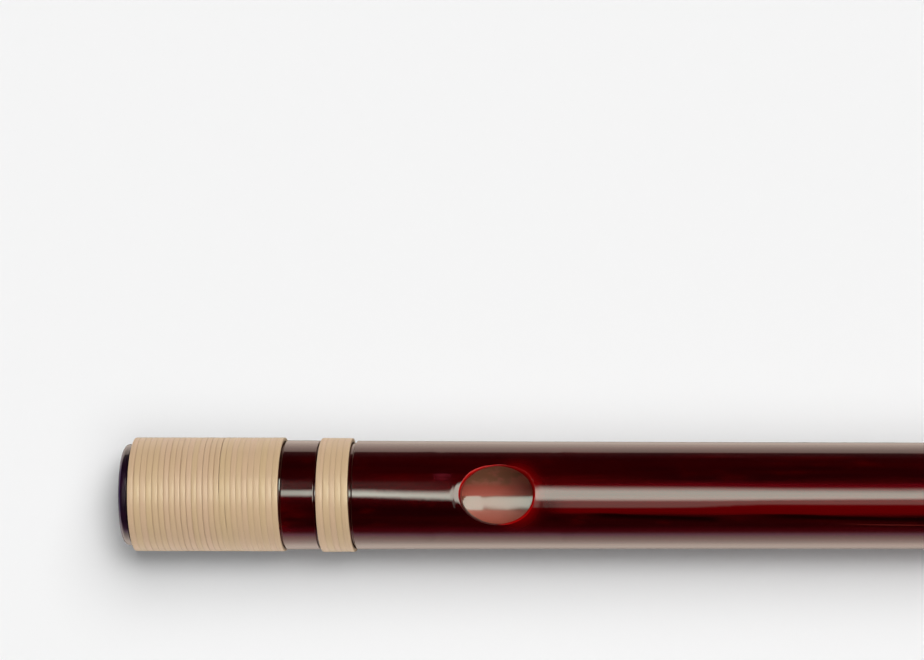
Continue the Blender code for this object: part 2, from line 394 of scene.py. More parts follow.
class Shell:
    """Collects the points, faces and finishes of one mesh."""

    def __init__(self):
        self.points = []
        self.faces = []
        self.finishes = []

    def row(self, points):
        first = len(self.points)
        self.points.extend(map(tuple, points))
        return list(range(first, first + len(points)))

    def strip(self, lower, upper, finish=0, closed=True):
        count = len(lower)
        for i in range(count if closed else count - 1):
            j = (i + 1) % count
            self.faces.append((lower[i], lower[j], upper[j], upper[i]))
            self.finishes.append(finish)

    def follow(self, previous, points, finish):
        """Add a row and join it to the one before."""
        row = self.row(points)
        self.strip(previous, row, finish)
        return row

    def disc(self, ring, finish=0):
        self.faces.append(tuple(ring))
        self.finishes.append(finish)


def add_to_scene(item):
    bpy.context.scene.collection.objects.link(item)


def make_piece(name, shell, materials, crease=CREASE):
    """Turn a shell into a smooth piece with crisp corners."""
    mesh = bpy.data.meshes.new(name)
    mesh.from_pydata(shell.points, [], shell.faces)
    for material in materials:
        mesh.materials.append(material)
    mesh.polygons.foreach_set("material_index", shell.finishes)
    bm = bmesh.new()
    bm.from_mesh(mesh)
    bmesh.ops.recalc_face_normals(bm, faces=bm.faces)
    bm.to_mesh(mesh)
    bm.free()
    mesh.shade_smooth()
    mesh.set_sharp_from_angle(angle=radians(crease))
    piece = bpy.data.objects.new(name, mesh)
    add_to_scene(piece)
    return piece


def add_values(piece, name, values):
    """Store one vector for each point, for the materials to read."""
    attribute = piece.data.attributes.new(name, "FLOAT_VECTOR", "POINT")
    attribute.data.foreach_set("vector", np.asarray(values, np.float32).ravel())


# Tube

def even_steps(start, end, step):
    """Places from start to end, both included, about a step apart."""
    count = max(1, round((end - start) / step))
    return list(np.linspace(start, end, count + 1))


def stations_with_patches(start, end):
    """Places along a stretch of tube, and where in the list each hole's patch begins."""
    places = [start]
    patches = []
    for hole in HOLES:
        if start < hole.x < end:
            places += even_steps(places[-1], hole.x - hole.patch, STATION_STEP)[1:]
            patches.append((hole, len(places) - 1))
            low, high = hole.x - hole.patch, hole.x + hole.patch
            places += list(np.linspace(low, high, PATCH_STEPS + 1))[1:]
    places += even_steps(places[-1], end, STATION_STEP)[1:]
    return places, patches


def seat_edge(x, outward):
    """Rounded lip from the plain tube down to a seat, in order from the plain side."""
    steps = [(x + outward * (SEAT_LIP + away), 0.0) for away in LIP_STEPS]
    for facet in range(1, LIP_FACETS + 1):
        turn = pi / 2 * facet / LIP_FACETS
        along = x + outward * SEAT_LIP * (1 - sin(turn))
        steps.append((along, SEAT_LIP * (1 - cos(turn))))
    return steps + [(x, SEAT_FLOOR)]


def outer_stations():
    """(place, drop) along the whole outside, with the hole patches' first stations."""
    seats = [HEAD_BINDING, *RINGS, TAIL_BINDING]
    stations = [(TUBE_START, SEAT_FLOOR)]
    patches = []
    for left, right in zip(seats, seats[1:]):
        leaving = seat_edge(left[1] + SEAT_GAP, 1)[::-1]
        entering = seat_edge(right[0] - SEAT_GAP, -1)
        stations += leaving
        places, found = stations_with_patches(leaving[-1][0], entering[0][0])
        patches += [(hole, len(stations) - 1 + first) for hole, first in found]
        stations += [(x, 0.0) for x in places[1:-1]] + entering
    for facet in range(TAIL_EDGE_FACETS + 1):
        turn = pi / 2 * facet / TAIL_EDGE_FACETS
        inset = TAIL_EDGE_RADIUS * (1 - cos(turn))
        stations.append((TUBE_END - TAIL_EDGE_RADIUS * (1 - sin(turn)), SEAT_FLOOR + inset))
    return stations, patches


def patch_border(first):
    """(station, column) round a patch: up its far side, back along it, down and forth again."""
    last = first + PATCH_STEPS
    across = range(-PATCH_COLUMNS, PATCH_COLUMNS + 1)
    border = [(last, column) for column in across]
    border += [(i, PATCH_COLUMNS) for i in range(last - 1, first, -1)]
    border += [(first, -column) for column in across]
    border += [(i, -PATCH_COLUMNS) for i in range(first + 1, last)]
    return border


def border_row(rows, first):
    return [rows[i][column % COLUMNS] for i, column in patch_border(first)]


def border_places(places, first):
    """(place, angle) of the points of border_row."""
    return np.array([(places[i], 2 * pi * column / COLUMNS) for i, column in patch_border(first)])


def add_grid(shell, rows, patches, finish):
    """Quads between all rows, apart from the patches round the holes."""
    open_columns = range(PATCH_COLUMNS, COLUMNS - PATCH_COLUMNS + 1)
    in_patch = {first + i for _, first in patches for i in range(PATCH_STEPS)}
    for i, (lower, upper) in enumerate(zip(rows, rows[1:])):
        if i in in_patch:
            lower = [lower[j % COLUMNS] for j in open_columns]
            upper = [upper[j % COLUMNS] for j in open_columns]
            shell.strip(lower, upper, finish, closed=False)
        else:
            shell.strip(lower, upper, finish)


def unit(vectors):
    return vectors / np.linalg.norm(vectors, axis=-1, keepdims=True)


def hole_edge(hole, turn):
    """Sharp edge of a hole, with the normals of the outside and of the hole's wall."""
    x = hole.x + hole.half_length * np.cos(turn)
    y = hole.half_width * np.sin(turn)
    angle = np.arcsin(y / (outer_radius(x) + coat_build(x) - hole_sink(hole, x)))
    nudge = 0.02 * MM
    angle_nudge = nudge / BODY_RADIUS
    along = skin_point(x + nudge, angle) - skin_point(x - nudge, angle)
    across = skin_point(x, angle + angle_nudge) - skin_point(x, angle - angle_nudge)
    outward = np.stack(
        [np.cos(turn) / hole.half_length, np.sin(turn) / hole.half_width, 0 * turn], -1
    )
    return skin_point(x, angle), unit(np.cross(across, along)) * -1, -unit(outward)


def add_hole(shell, hole, outside, outside_border, inside, inside_border):
    """The skin round a hole, its rounded edge, its wall and the bore's skin round it."""
    places = outside_border
    stretch = BODY_RADIUS * asin(hole.half_width / BODY_RADIUS)
    dx = (places[:, 0] - hole.x) / hole.half_length
    turn = np.arctan2(BODY_RADIUS * places[:, 1] / stretch, dx)
    edge, skin_normal, wall_normal = hole_edge(hole, turn)
    skin_normal = np.where(skin_normal[:, 2:] < 0, -skin_normal, skin_normal)
    both = 1 + np.sum(skin_normal * wall_normal, -1, keepdims=True)
    angles, radii = zip(*hole.edge)
    radius = np.interp(np.degrees(turn) % 360, angles, radii)[:, None] * MM
    centre = edge - radius * (skin_normal + wall_normal) / both
    start = centre + radius * skin_normal
    start_angle = np.arctan2(start[:, 1], start[:, 2] - AXIS_Z)
    previous = outside
    for ring in range(1, PATCH_RINGS):
        share = (1 - ring / PATCH_RINGS) ** RING_CROWDING
        x = start[:, 0] + (places[:, 0] - start[:, 0]) * share
        angle = start_angle + (places[:, 1] - start_angle) * share
        previous = shell.follow(previous, skin_point(x, angle), LACQUER_FINISH)
    for ring in range(FILLET_RINGS + 1):
        share = ring / FILLET_RINGS
        normal = unit(skin_normal * (1 - share) + wall_normal * share)
        finish = RIM_FINISH if ring else LACQUER_FINISH
        previous = shell.follow(previous, centre + radius * normal, finish)
    top = centre + radius * wall_normal
    bottom_angle = np.arcsin(np.clip(top[:, 1] / BORE_RADIUS, -1, 1))
    bottom = bore_point(top[:, 0], bottom_angle)
    for ring in range(1, WALL_RINGS + 1):
        previous = shell.follow(previous, top + (bottom - top) * ring / WALL_RINGS, RIM_FINISH)
    for ring in range(1, BORE_RINGS):
        share = ring / BORE_RINGS
        x = top[:, 0] + (inside_border[:, 0] - top[:, 0]) * share
        angle = bottom_angle + (inside_border[:, 1] - bottom_angle) * share
        previous = shell.follow(previous, bore_point(x, angle), BORE_FINISH)
    shell.strip(previous, inside, BORE_FINISH)


def hole_values(points):
    """How near a hole each point lies, and on which side of it along X and Y."""
    nearness = np.zeros(len(points))
    side = np.zeros(len(points))
    across = np.zeros(len(points))
    for hole in HOLES:
        away = np.maximum(0.0, rim_distance(hole, points[:, 0], points[:, 1]))
        here = np.exp(-away / RED_REACH) * (points[:, 2] > AXIS_Z)
        nearness = np.maximum(nearness, here)
        side = np.where(here > RED_LEAST, (points[:, 0] - hole.x) / hole.half_length, side)
        across = np.where(here > RED_LEAST, points[:, 1] / hole.half_width, across)
    return np.stack([nearness, side, across], -1)


def make_tube():
    """The lacquered culm: outside, holes, open bore, and the closed cavity in the head."""
    shell = Shell()
    angles = circle(COLUMNS)
    stations, patches = outer_stations()
    outside = [shell.row(skin_point(x, angles, drop)) for x, drop in stations]
    add_grid(shell, outside, patches, LACQUER_FINISH)

    places, bore_patches = stations_with_patches(SEPTUM_END, TUBE_END - SEAT_GAP)
    inside = [shell.row(bore_point(x, angles)) for x in places]
    add_grid(shell, inside, bore_patches, BORE_FINISH)
    outer_places = [x for x, _ in stations]
    for (hole, first), (_, bore_first) in zip(patches, bore_patches):
        add_hole(
            shell, hole,
            border_row(outside, first), border_places(outer_places, first),
            border_row(inside, bore_first), border_places(places, bore_first),
        )

    mouth = bore_point(TUBE_END, angles)
    mouth[:, 1:] = (mouth[:, 1:] - (0, AXIS_Z)) * (1 + SEAT_GAP / BORE_RADIUS) + (0, AXIS_Z)
    tail = shell.row(mouth)
    shell.strip(inside[-1], tail, RIM_FINISH)
    shell.strip(tail, outside[-1], RIM_FINISH)
    shell.disc(inside[0], BORE_FINISH)
    cavity = [shell.row(bore_point(x, angles)) for x in (SEPTUM_END - SEPTUM_THICKNESS, TUBE_START)]
    shell.disc(cavity[0], BORE_FINISH)
    shell.strip(cavity[0], cavity[1], BORE_FINISH)
    shell.strip(cavity[1], outside[0], LACQUER_FINISH)

    tube = make_piece("bamboo_body", shell, [lacquer_material(), rim_material(), bore_material()])
    add_values(tube, "skin", hole_values(np.array(shell.points)))
    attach(tube, "root")
    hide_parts("bamboo_tube")
    return tube


# Rattan windings

def square_laid(tau, turns):
    """Strands laid square to the flute, each stepping over to the next at the bottom."""
    total = np.zeros_like(tau)
    for n in range(1, turns):
        total += smooth((tau - n + JOG_SHARE / 2) / JOG_SHARE)
    return total


def strand_course(tau, turns, square_start, square_end):
    """How many strand widths the strand has moved along after tau turns."""
    screw = tau * (turns - 1) / turns
    loose = between(tau, 0.0, turns, square_start, square_end)
    return square_laid(tau, turns) * (1 - loose) + screw * loose


def strand_edges(node, turns, tau, square):
    """Both edges of the strand, which lie midway between neighbouring turns."""
    start, end = x_span(node)
    pitch = (end - start) / turns
    before, middle, after = [
        start + pitch * (0.5 + strand_course(place, turns, *square))
        for place in (np.maximum(tau - 1, 0.0), tau, np.minimum(tau + 1, turns))
    ]
    left = np.where(tau < 1, middle - pitch / 2, (before + middle) / 2)
    right = np.where(tau > turns - 1, middle + pitch / 2, (middle + after) / 2)
    return left, right


def extra_gap(tau, gaps):
    """Extra width of the gap on the far side of a strand at each point."""
    degrees = 360.0 * tau
    extra = np.zeros_like(tau)
    for turn, low, high, width in gaps:
        start = 360.0 * turn
        share = between(degrees, start + low, start + high, GAP_FADE, GAP_FADE)
        extra = np.maximum(extra, width * share)
    return extra


def hand_wander(tau, turns, seed):
    """Slow irregularities of the strand's two edges and of its height."""
    count = turns * KNOTS_PER_TURN + 2
    knots = np.random.default_rng(seed).normal(0.0, 1.0, (3, count))
    places = np.linspace(0.0, turns, count)
    return [np.interp(tau, places, row) for row in knots]


def make_winding(name, node, turns, square, material, seed, gaps=(), shift=0.0, height=STRAND_HEIGHT):
    """One strand of rattan wound side by side."""
    tau = np.linspace(0.0, turns, turns * POINTS_PER_TURN + 1)
    angle = 2 * pi * tau
    left, right = strand_edges(node, turns, tau, square)
    left_wander, right_wander, height_wander = hand_wander(tau, turns, seed)
    left = left + (STRAND_GAP + extra_gap(tau - 1, gaps)) / 2 + EDGE_WANDER * np.abs(left_wander)
    right = right - (STRAND_GAP + extra_gap(tau, gaps)) / 2 - EDGE_WANDER * np.abs(right_wander)
    height = height + HEIGHT_WANDER * height_wander
    base = outer_radius((left + right) / 2) - STRAND_SINK

    shell = Shell()
    values = []
    rows = []
    bare_left = np.where(tau < 1, BARE_EDGE, 1.0)
    bare_right = np.where(tau > turns - 1, BARE_EDGE, 1.0)
    for across, rise in STRAND_SECTION:
        x = (left + right) / 2 + across * (right - left) / 2
        radius = base + rise * height
        section = [x, radius * np.sin(angle) + shift, AXIS_Z - radius * np.cos(angle)]
        rows.append(np.stack(section, -1))
        clean = bare_left if across < 0 else bare_right
        values.append(np.stack([angle * base, across * clean, tau], -1))
    loops = [shell.row(loop) for loop in np.stack(rows, 1)]
    for lower, upper in zip(loops, loops[1:]):
        shell.strip(lower, upper)
    shell.disc(loops[0])
    shell.disc(loops[-1])
    winding = make_piece(name, shell, [material], STRAND_CREASE)
    add_values(winding, "strand", np.stack(values, 1).reshape(-1, 3))
    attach(winding, "root")
    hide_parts(node)
    winding.visible_diffuse = False
    return winding


# Turned pieces

def lathe(name, profile, materials):
    """Turn (x, radius) points round the axis, and close both ends."""
    shell = Shell()
    angles = circle(LATHE_SIDES)
    rows = []
    for x, radius in profile:
        y = radius * np.sin(angles)
        z = AXIS_Z + radius * np.cos(angles)
        rows.append(shell.row(np.stack([x + 0 * y, y, z], -1)))
    for lower, upper in zip(rows, rows[1:]):
        shell.strip(lower, upper)
    shell.disc(rows[0])
    shell.disc(rows[-1])
    return make_piece(name, shell, materials)


def make_cap():
    """A turned and lacquered disc with a rounded edge, on a spigot in the bore."""
    low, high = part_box("head_cap")
    radius = (high.z - low.z) / 2 + CAP_COAT
    flat = radius - CAP_EDGE_RADIUS
    face_end = TUBE_START - SEAT_GAP
    profile = []
    for step in range(CAP_FACE_STEPS + 1):
        share = step / CAP_FACE_STEPS
        hub = HUB_SHARE + (1 - HUB_SHARE) * share
        profile.append((low.x + CAP_CROWN * share**2, flat * hub))
    edge_start = low.x + CAP_CROWN
    for facet in range(1, CAP_EDGE_FACETS + 1):
        turn = pi / 2 * facet / CAP_EDGE_FACETS
        along = edge_start + CAP_EDGE_RADIUS * (1 - cos(turn))
        profile.append((along, radius - CAP_EDGE_RADIUS * (1 - sin(turn))))
    inner = BORE_RADIUS - SEAT_GAP
    profile += [(face_end - CAP_BACK_BEVEL, radius), (face_end, radius - CAP_BACK_BEVEL)]
    profile += [(face_end, inner), (high.x - SPIGOT_BEVEL, inner), (high.x, inner - SPIGOT_BEVEL)]
    cap = lathe("cap_turned", profile, [cap_material()])
    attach(cap, "root")
    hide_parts("head_cap")
    return cap


def make_wax():
    """The wax wall: poured, and dished where it creeps up the bore."""
    low, high = WAX_WALL
    radius = BORE_RADIUS - WAX_GAP
    profile = [(low, radius * HUB_SHARE), (low, radius - WAX_BEVEL), (low + WAX_BEVEL, radius)]
    profile.append((high, radius))
    for step in range(1, WAX_STEPS):
        share = 1 - step / WAX_STEPS
        profile.append((high - WAX_DISH * (1 - share**3), radius * share))
    wax = lathe("wax_poured", profile, [wax_material()])
    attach(wax, "root")
    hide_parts("wax_wall")
    return wax


def dress_plug():
    """The cork keeps its solid and gets its grain."""
    plug = frame["nodes"]["head_plug"]
    plug.data.materials.clear()
    plug.data.materials.append(cork_material())


# Materials

class Tree:
    """Node tree of a material or a world, with short calls to add and join nodes."""

    def __init__(self, owner, shader="Principled BSDF"):
        owner.use_nodes = True
        self.owner = owner
        self.tree = owner.node_tree
        self.shader = self.tree.nodes[shader]

    def put(self, socket, value):
        if isinstance(value, bpy.types.NodeSocket):
            self.tree.links.new(value, socket)
        elif isinstance(value, tuple) and len(value) == 3 and socket.type == "RGBA":
            socket.default_value = (*value, 1.0)
        else:
            socket.default_value = value

    def add(self, kind, values=()):
        """A new node with values or links by the input's place."""
        node = self.tree.nodes.new(kind)
        for index, value in dict(values).items():
            self.put(node.inputs[index], value)
        return node

    def node(self, kind, output=0, settings=None, **inputs):
        node = self.tree.nodes.new(kind)
        for key, value in (settings or {}).items():
            setattr(node, key, value)
        for key, value in inputs.items():
            self.put(node.inputs[key.replace("_", " ")], value)
        return node.outputs[output]

    def set(self, **inputs):
        for key, value in inputs.items():
            self.put(self.shader.inputs[key.replace("_", " ")], value)

    def math(self, operation, a, b=0.0):
        node = self.add("ShaderNodeMath", {0: a, 1: b})
        node.operation = operation
        return node.outputs[0]

    def times(self, first, *others):
        for value in others:
            first = self.math("MULTIPLY", first, value)
        return first

    def plus(self, a, b):
        return self.math("ADD", a, b)

    def minus(self, a, b):
        return self.math("SUBTRACT", a, b)

    def place(self, scale=(1.0, 1.0, 1.0)):
        """Object coordinates, stretched by a scale for each axis."""
        where = self.node("ShaderNodeTexCoord", output="Object")
        return self.node("ShaderNodeMapping", Vector=where, Scale=scale)

    def noise(self, where, scale=1.0, detail=3.0, roughness=0.55):
        return self.node(
            "ShaderNodeTexNoise", Vector=where, Scale=scale, Detail=detail, Roughness=roughness
        )

    def span(self, value, low, high, to_low=0.0, to_high=1.0, kind="SMOOTHSTEP"):
        return self.node(
            "ShaderNodeMapRange", Value=value, From_Min=low, From_Max=high,
            To_Min=to_low, To_Max=to_high, settings={"interpolation_type": kind},
        )

    def band(self, value, start, full, fading, end):
        """1 between the middle two values, falling softly to 0 at the outer two."""
        return self.times(self.span(value, start, full), self.span(value, end, fading))

    def mix(self, share, a, b):
        """A colour between two others."""
        node = self.tree.nodes.new("ShaderNodeMix")
        node.data_type = "RGBA"
        for index, value in ((0, share), (6, a), (7, b)):
            self.put(node.inputs[index], value)
        return node.outputs[2]

    def choose(self, share, a, b):
        """A number between two others."""
        return self.add("ShaderNodeMix", {0: share, 2: a, 3: b}).outputs[0]

    def steps(self, place, stops):
        """Value by place, straight between stops of a place in mm and a value."""
        first, last = stops[0][0] * MM, stops[-1][0] * MM
        highest = max(value for _, value in stops)
        share = self.span(place, first, last, kind="LINEAR")
        ramp = self.add("ShaderNodeValToRGB", {0: share})
        elements = ramp.color_ramp.elements
        while len(elements) < len(stops):
            elements.new(0.5)
        for element, (where, value) in zip(elements, stops):
            element.position = (where * MM - first) / (last - first)
            element.color = (*(value / highest,) * 3, 1.0)
        return self.times(ramp.outputs[0], highest)

    def bump(self, height, distance, strength, **below):
        return self.node(
            "ShaderNodeBump", Height=height, Distance=distance, Strength=strength, **below
        )

    def mix_shader(self, share, a, b):
        return self.add("ShaderNodeMixShader", {0: share, 1: a, 2: b}).outputs[0]

    def finish(self, shader):
        self.put(self.tree.nodes["Material Output"].inputs[0], shader)

    def split(self, vector):
        """X, Y and Z of a vector."""
        return tuple(self.add("ShaderNodeSeparateXYZ", {0: vector}).outputs)

    def axes(self):
        """X, Y and Z of the place on the object."""
        return self.split(self.node("ShaderNodeTexCoord", output="Object"))

    def attribute(self, name):
        """X, Y and Z of a point value."""
        settings = {"attribute_name": name}
        return self.split(self.node("ShaderNodeAttribute", output="Vector", settings=settings))

    def combine(self, x, y, z):
        return self.add("ShaderNodeCombineXYZ", {0: x, 1: y, 2: z}).outputs[0]


def new_material(name):
    return Tree(bpy.data.materials.new(name))


def ground_coats(t, skin):
    """Dark red coats, uneven and clouded, and redder past the mouth hole."""
    dark = (0.009, 0.0001, 0.0004)
    middle = (0.02, 0.0001, 0.0004)
    red = (0.06, 0.0001, 0.0003)
    colour = t.mix(t.span(skin.tone, 0.36, 0.55), dark, middle)
    colour = t.mix(t.span(skin.clouds, 0.55, 0.75, 0.0, 0.35), colour, red)
    reddish = t.plus(t.times(skin.past_mouth, 0.6), 0.4)
    return t.mix(t.times(reddish, t.span(skin.tone, 0.52, 0.72)), colour, red)


def red_clouds_and_painted_glow(t, skin, colour):
    """Redder places: a painted red glow just below and just above the highlight past the mouth hole,
    red clouds below the middle by the head binding, and painted light low on the -Y side.
    """
    # Painted red glow just below the highlight and, next, just above it, past the mouth hole
    below = t.times(t.band(skin.wavy, -0.39, -0.3, -0.12, 0.02), skin.past_mouth, 0.85)
    above = t.times(t.span(skin.wavy, 0.27, 0.19), t.span(skin.sine, 0.05, 0.12), skin.past_mouth)
    neck = t.span(skin.along, HEAD_BINDING[1] + 6.5 * MM, HEAD_BINDING[1] + 0.5 * MM)
    neck = t.times(neck, t.times(t.span(skin.sine, -0.1, -0.35), t.span(skin.clouds, 0.3, 0.65)))
    # Painted light: redder low on the -Y side
    low = t.times(t.band(skin.sine, -0.95, -0.8, -0.69, -0.57), 0.5)
    reds = (
        (below, (0.1, 0.0002, 0.0008)),
        (above, (0.055, 0.0002, 0.002)),
        (neck, (0.06, 0.0002, 0.0006)),
        (low, (0.07, 0.0003, 0.004)),
    )
    for share, red in reds:
        colour = t.mix(share, colour, red)
    return colour


def painted_reflection_patch(t, skin, colour):
    """A faint dull patch beside the mouth hole, broken by streaks: a painted reflection."""
    reflected_dull_red = (0.075, 0.006, 0.01)
    along = t.math("ABSOLUTE", t.minus(skin.along, MOUTH.x - 10 * MM))
    across = t.math("ABSOLUTE", t.minus(skin.sine, 0.365))
    across = t.plus(across, t.times(t.minus(skin.clouds, 0.5), 0.15))
    share = t.times(t.span(along, 2.6 * MM, 0.0), t.span(across, 0.15, 0.0))
    return t.mix(t.times(share, t.span(skin.streaks, 0.42, 0.6, 0.1, 1.0)), colour, reflected_dull_red)


def brush_laps(t, skin, colour):
    """Long strokes past the mouth hole, each a dark thick lap with a paler ridge below it."""
    lap_dark = (0.005, 0.0, 0.0)
    ridge_red = (0.075, 0.008, 0.006)
    pace = t.math("DIVIDE", t.minus(skin.along, MOUTH.x + 13 * MM), 34 * MM)
    uneven = t.times(t.math("SINE", t.times(pace, 2.0)), 0.134)
    lap = t.math("FRACT", t.plus(pace, uneven))
    above_lap = t.plus(skin.wavy, t.plus(0.35, t.times(lap, 0.095)))
    stroke = t.times(t.band(lap, 0.02, 0.3, 0.9, 0.99), skin.past_mouth)
    thick = t.band(above_lap, -0.1, -0.02, 0.01, 0.05)
    colour = t.mix(t.times(thick, stroke), colour, lap_dark)
    ridge = t.band(above_lap, -0.15, -0.125, -0.12, -0.1)
    ridge = t.times(ridge, t.times(stroke, t.span(lap, 0.4, 0.7)))
    ridge = t.times(ridge, t.span(skin.along, MOUTH.x + 44 * MM, MOUTH.x + 48 * MM), 0.8)
    return t.mix(ridge, colour, ridge_red)


def lacquer_material():
    """Deep red lacquer over bamboo, brushed on lengthwise in many thin coats."""
    t = new_material("red_lacquer")
    nearness, side, _ = t.attribute("skin")
    along, across, _ = t.axes()
    sine = t.math("DIVIDE", across, BODY_RADIUS)
    broad = t.noise(t.place((22.0, 190.0, 190.0)), detail=4.0)
    streaks = t.noise(t.place((14.0, 900.0, 900.0)), roughness=0.6)
    clouds = t.noise(t.place((150.0, 420.0, 420.0)))
    tone = t.plus(t.times(broad, 0.65), t.times(streaks, 0.35))
    wavy = t.plus(sine, t.times(t.minus(broad, 0.5), 0.12))
    past_mouth = t.span(along, MOUTH.x + 7 * MM, MOUTH.x + 14 * MM)
    skin = Skin(along, sine, wavy, tone, clouds, streaks, past_mouth)
    colour = ground_coats(t, skin)
    colour = red_clouds_and_painted_glow(t, skin, colour)
    colour = painted_reflection_patch(t, skin, colour)
    colour = brush_laps(t, skin, colour)
    hole_red = (0.18, 0.0002, 0.0006)
    glow = t.times(nearness, t.span(side, -0.2, 1.0, 0.25, 1.0))
    colour = t.mix(t.span(glow, 0.15, 1.0, 0.0, 0.9), colour, hole_red)
    orange_peel = t.noise(t.place((260.0, 420.0, 420.0)), detail=2.0)
    ripple = t.noise(t.place((9.0, 60.0, 60.0)), detail=1.0)
    normal = t.bump(ripple, 0.25 * MM, 0.25)
    normal = t.bump(orange_peel, 0.006 * MM, 0.6, Normal=normal)
    t.set(
        Base_Color=colour, Roughness=0.27, Specular_Tint=(1.0, 0.05, 0.07), Normal=normal,
        Specular_IOR_Level=0.15, Coat_Weight=1.0, Coat_Roughness=0.03, Coat_IOR=1.5,
        Coat_Normal=normal,
    )
    return t.owner


def rim_material():
    """The cut edge of the bamboo under its coat of bright red lacquer: brighter red in a crescent,
    partly thin lacquer and partly painted light, and darker at the lower left in painted shade.
    """
    t = new_material("hole_edge_lacquer")
    red = (0.15, 0.0003, 0.0003)
    bright_red = (0.33, 0.0005, 0.0005)
    shaded = (0.02, 0.002, 0.002)
    _, side, across = t.attribute("skin")
    grain = t.noise(t.place((700.0, 700.0, 160.0)), detail=4.0)
    # Partly painted light: the walls the light falls on are brighter red, as is thin lacquer
    lit_thin_crescent = t.plus(t.times(side, t.times(across, -1.0)), t.times(grain, 0.25))
    colour = t.mix(t.span(lit_thin_crescent, -0.15, 0.45), red, bright_red)
    # Painted shade on the lower-left wall
    shaded_lower_left = t.times(t.span(side, 0.35, -0.1), t.span(across, 0.0, -0.5), 0.9)
    colour = t.mix(shaded_lower_left, colour, shaded)
    t.set(
        Base_Color=colour, Roughness=0.4, Normal=t.bump(grain, 0.03 * MM, 0.5), Coat_Weight=0.12,
        Coat_Roughness=0.1, Specular_IOR_Level=0.1,
    )
    return t.owner


def bore_material():
    """Red-brown lacquer wiped along the inside of the bore, and pooled at the bottom."""
    t = new_material("bore_lacquer")
    streaks = t.noise(t.place((40.0, 500.0, 500.0)), detail=4.0)
    cloud = t.noise(t.place((120.0, 120.0, 120.0)), detail=2.0)
    tone = t.plus(t.times(streaks, 0.6), t.times(cloud, 0.4))
    colour = t.mix(t.span(tone, 0.35, 0.65), (0.42, 0.12, 0.08), (0.72, 0.26, 0.165))
    _, across, up = t.axes()
    low = t.span(up, AXIS_Z - 4.5 * MM, AXIS_Z - 5.5 * MM)
    pooled = t.times(t.band(across, -3.0 * MM, -2.5 * MM, -0.4 * MM, 0.0), low)
    redder = t.times(t.span(across, -1.2 * MM, -0.2 * MM), low)
    colour = t.mix(redder, colour, t.mix(tone, (0.4, 0.07, 0.045), (0.66, 0.14, 0.085)))
    blotch = t.noise(t.place((260.0, 420.0, 420.0)))
    brown = t.mix(t.span(blotch, 0.42, 0.6), (0.33, 0.15, 0.08), (0.5, 0.18, 0.115))
    colour = t.mix(t.span(across, 1.2 * MM, 2.6 * MM), colour, brown)
    colour = t.mix(pooled, colour, (0.26, 0.08, 0.045))
    coat = t.plus(0.12, t.times(pooled, 0.88))
    t.set(
        Base_Color=colour, Roughness=0.45, Specular_IOR_Level=0.2, Coat_Weight=coat, Coat_IOR=1.5,
        Coat_Roughness=0.04, Normal=t.bump(streaks, 0.02 * MM, 0.2),
    )
    return t.owner


def rattan_material():
    """Split rattan: long fibres, a satin skin, and dust with painted shade in the grooves between
    turns.
    """
    t = new_material("split_rattan")
    pink = (0.562, 0.385, 0.25)
    yellow = (0.544, 0.39, 0.222)
    brown = (0.41, 0.26, 0.15)
    dusty_shade_brown = (0.36, 0.22, 0.12)
    length, across, turn = t.attribute("strand")
    fibre_place = t.combine(t.times(length, 70.0), t.times(across, 3.2), turn)
    fibres = t.noise(fibre_place, detail=5.0, roughness=0.6)
    fine_place = t.combine(t.times(length, 350.0), t.times(across, 14.0), turn)
    fine = t.noise(fine_place, detail=2.0)
    tint_place = t.combine(t.times(length, 16.0), 0.0, t.times(turn, 0.35))
    tint = t.noise(tint_place, detail=2.0)
    along, _, _ = t.axes()
    colour = t.mix(t.span(tint, 0.3, 0.7), pink, yellow)
    colour = t.mix(t.span(fibres, 0.52, 0.8, 0.0, 0.5), colour, brown)
    colour = t.mix(t.span(fine, 0.6, 0.85, 0.0, 0.3), colour, brown)
    # Dust and painted shade along the strands' edges, where the grooves between turns are; less of it
    # towards the head winding's tail end
    edge = t.span(t.math("ABSOLUTE", across), 0.64, 1.0)
    worn = t.span(along, HEAD_BINDING[0] + 0.6 * HEAD_WIDTH, HEAD_BINDING[0] + 0.75 * HEAD_WIDTH)
    uneven = t.noise(t.combine(t.times(length, 25.0), across, t.times(turn, 3.0)))
    dust_and_groove_shade = t.times(edge, t.minus(0.7, t.times(worn, 0.45)), t.span(uneven, 0.35, 0.65))
    colour = t.mix(dust_and_groove_shade, colour, dusty_shade_brown)
    normal = t.bump(fibres, 0.05 * MM, 0.35)
    normal = t.bump(fine, 0.03 * MM, 0.5, Normal=normal)
    t.set(
        Base_Color=colour, Roughness=t.span(fibres, 0.3, 0.8, 0.3, 0.5), Normal=normal,
        Specular_IOR_Level=0.3, Coat_Weight=0.17, Coat_Roughness=0.15,
    )
    return t.owner


def cap_material():
    """Near-black lacquer with a purple cast, worn violet round its edge."""
    t = new_material("black_lacquer")
    violet = (0.04, 0.013, 0.095)
    cloud = t.noise(t.place((60.0, 220.0, 220.0)))
    colour = t.mix(t.span(cloud, 0.35, 0.65), (0.006, 0.001, 0.006), (0.018, 0.002, 0.014))
    along, across, up = t.axes()
    above = t.minus(up, AXIS_Z)
    off_axis = t.math("SQRT", t.plus(t.times(across, across), t.times(above, above)))
    worn = t.span(along, CAP_START + 0.7 * MM, CAP_START + 0.3 * MM)
    worn = t.times(worn, t.span(off_axis, CAP_WORN_RADIUS - 0.5 * MM, CAP_WORN_RADIUS))
    colour = t.mix(worn, colour, violet)
    t.set(
        Base_Color=colour, Roughness=0.4, Specular_IOR_Level=0.2, Coat_Weight=1.0,
        Coat_Roughness=0.06, Normal=t.bump(cloud, 0.03 * MM, 0.25),
    )
    return t.owner


